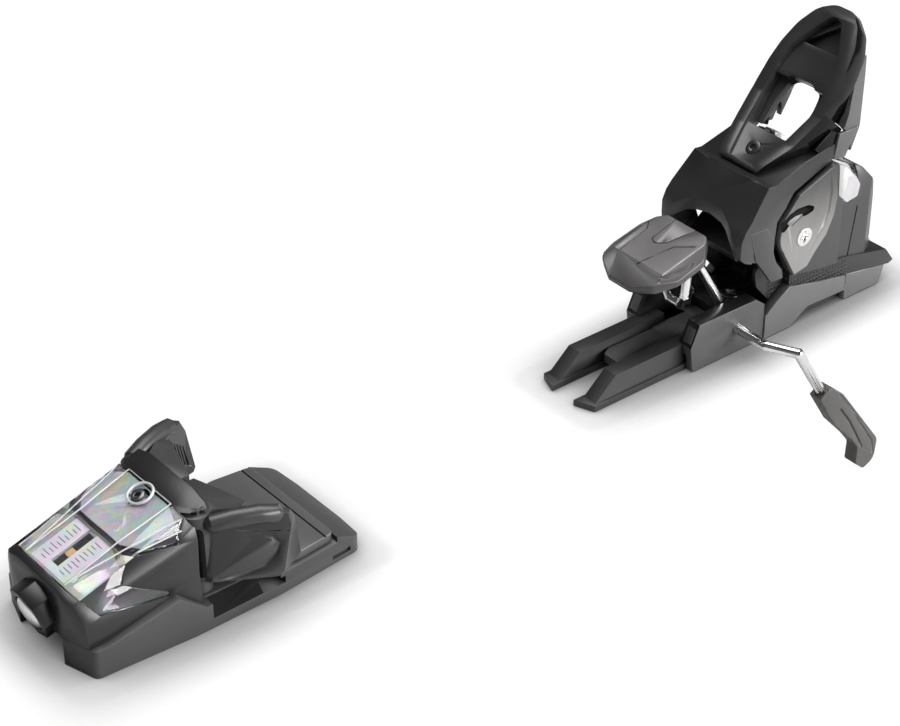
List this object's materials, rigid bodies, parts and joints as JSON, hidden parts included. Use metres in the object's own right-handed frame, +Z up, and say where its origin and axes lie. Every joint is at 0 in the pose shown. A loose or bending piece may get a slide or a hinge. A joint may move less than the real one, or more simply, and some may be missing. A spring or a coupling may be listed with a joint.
{
  "type": "ski binding",
  "caption": "Alpine step-in ski binding: toe unit with swinging wings and a clear release-scale cover, and a heel unit on a track with a step-in lever and a folding ski brake.",
  "frame": {"origin": "centre of the four toe screws, on the ski's top face", "axes": "+X towards the ski tip, +Y to the skier's left, +Z up from the ski"},
  "size_m": [0.4896, 0.12, 0.2214],
  "materials": {
    "black_plastic": "satin",
    "charcoal_plastic": "satin",
    "grey_plastic": "satin",
    "brown_plastic": "satin",
    "clear_plastic": "gloss",
    "white_plate": "satin",
    "orange_plastic": "satin",
    "chrome_steel": "polished",
    "steel": "brushed",
    "dark_steel": "blackened",
    "brass": "machined"
  },
  "bodies": {
    "toe_and_track": {"toe_base": "charcoal_plastic", "toe_housing": "charcoal_plastic", "toe_cover": "clear_plastic", "toe_cover_screw": "dark_steel", "toe_scale_plate": "white_plate", "toe_collar": "black_plastic", "toe_spring": "steel", "toe_wing_pins": "steel", "toe_mount_screws": "steel", "heel_track": "black_plastic", "heel_mount_screws": "steel"},
    "toe_release": {"toe_release_screw": "chrome_steel"},
    "toe_indicator": {"toe_indicator_nut": "orange_plastic"},
    "pull_rod": {"toe_pull_rod": "brass"},
    "wing_left": {"toe_wing_left": "charcoal_plastic"},
    "wing_right": {"toe_wing_right": "charcoal_plastic"},
    "slide_plate": {"toe_slide_plate": "black_plastic"},
    "carriage": {"heel_sled": "black_plastic", "heel_skirts": "charcoal_plastic", "heel_foot": "charcoal_plastic", "forward_spring": "steel", "forward_spring_plug": "steel", "deck_screw": "chrome_steel", "brake_block": "charcoal_plastic", "brake_clips": "black_plastic", "heel_housing": "charcoal_plastic", "cheek_plate_left": "grey_plastic", "cheek_plate_right": "grey_plastic", "heel_window": "clear_plastic", "heel_pivot_pin": "chrome_steel", "heel_spring": "steel"},
    "length_worm": {"length_screw": "steel"},
    "heel_release": {"heel_release_screw": "chrome_steel"},
    "heel_indicator": {"heel_indicator_nut": "orange_plastic"},
    "plunger": {"heel_plunger": "steel"},
    "heel_jaw": {"heel_cup": "black_plastic", "heel_cam": "steel", "heel_treadle": "black_plastic", "heel_lever": "black_plastic", "lever_back": "grey_plastic", "lever_screw": "dark_steel"},
    "brake_arms": {"brake_arm_left": "chrome_steel", "brake_arm_right": "chrome_steel", "brake_claw_left": "brown_plastic", "brake_claw_right": "brown_plastic"},
    "brake_pedal": {"brake_pedal": "brown_plastic", "pedal_carrier": "black_plastic"},
    "yoke": {"brake_yoke": "chrome_steel"}
  },
  "joints": [
    {"name": "wing_left_swing", "type": "hinge", "parent": "toe_and_track", "child": "wing_left", "pos_m": [0.011, 0.022, 0.03], "axis": [0, 0, -1], "range_deg": [0, 28], "stiffness_Nm_per_rad": 2, "springref_deg": -5.73},
    {"name": "wing_right_swing", "type": "hinge", "parent": "toe_and_track", "child": "wing_right", "pos_m": [0.011, -0.022, 0.03], "axis": [0, 0, 1], "range_deg": [0, 28], "stiffness_Nm_per_rad": 2, "springref_deg": -5.73},
    {"name": "pull_rod_slide", "type": "slide", "parent": "toe_and_track", "child": "pull_rod", "axis": [-0.9563, 0, 0.2924], "range_m": [0, 0.004], "stiffness_N_per_m": 4000, "springref_m": -0.001, "deforming": ["toe_spring"]},
    {"name": "toe_release_turn", "type": "hinge", "parent": "toe_and_track", "child": "toe_release", "pos_m": [0.078, 0, 0.018], "axis": [-0.9563, 0, 0.2924], "range_deg": [-1080, 1080]},
    {"name": "toe_indicator_slide", "type": "slide", "parent": "toe_and_track", "child": "toe_indicator", "axis": [-0.9563, 0, 0.2924], "range_m": [-0.0062, 0.0062], "deforming": ["toe_spring"]},
    {"name": "slide_plate_shift", "type": "slide", "parent": "toe_and_track", "child": "slide_plate", "axis": [0, 1, 0], "range_m": [-0.005, 0.005], "stiffness_N_per_m": 300},
    {"name": "carriage_slide", "type": "slide", "parent": "toe_and_track", "child": "carriage", "axis": [1, 0, 0], "range_m": [-0.012, 0.012]},
    {"name": "length_turn", "type": "hinge", "parent": "carriage", "child": "length_worm", "pos_m": [-0.383, 0, 0.0124], "axis": [1, 0, 0], "range_deg": [-1440, 1440]},
    {"name": "heel_step_in", "type": "hinge", "parent": "carriage", "child": "heel_jaw", "pos_m": [-0.333, 0, 0.053], "axis": [0, 1, 0], "range_deg": [0, 32]},
    {"name": "plunger_slide", "type": "slide", "parent": "carriage", "child": "plunger", "axis": [-1, 0, 0], "range_m": [0, 0.003], "stiffness_N_per_m": 6000, "springref_m": -0.001, "deforming": ["heel_spring"]},
    {"name": "heel_release_turn", "type": "hinge", "parent": "carriage", "child": "heel_release", "pos_m": [-0.393, 0, 0.046], "axis": [1, 0, 0], "range_deg": [-720, 720]},
    {"name": "heel_indicator_slide", "type": "slide", "parent": "carriage", "child": "heel_indicator", "axis": [1, 0, 0], "range_m": [-0.0032, 0.0032], "deforming": ["heel_spring"]},
    {"name": "brake_fold", "type": "hinge", "parent": "carriage", "child": "brake_arms", "pos_m": [-0.297, 0, 0.0135], "axis": [0, 1, 0], "range_deg": [0, 60], "stiffness_Nm_per_rad": 1.5, "springref_deg": -11.46},
    {"name": "pedal_tip", "type": "hinge", "parent": "brake_arms", "child": "brake_pedal", "pos_m": [-0.27871, 0, 0.05219], "axis": [0, 1, 0], "range_deg": [-74, 0]},
    {"name": "yoke_swing", "type": "hinge", "parent": "brake_arms", "child": "yoke", "pos_m": [-0.27871, 0, 0.05219], "axis": [0, 1, 0], "range_deg": [0, 27]}
  ],
  "couplings": [
    {"joint": "toe_indicator_slide", "follows": "toe_release_turn", "m_per_rad": 0.00031831},
    {"joint": "length_turn", "follows": "carriage_slide", "rad_per_m": 2094.4},
    {"joint": "heel_indicator_slide", "follows": "heel_release_turn", "m_per_rad": 0.00023873},
    {"joint": "pedal_tip", "follows": "brake_fold", "ratio": -1.2283},
    {"joint": "yoke_swing", "follows": "brake_fold", "ratio": 0.44}
  ]
}
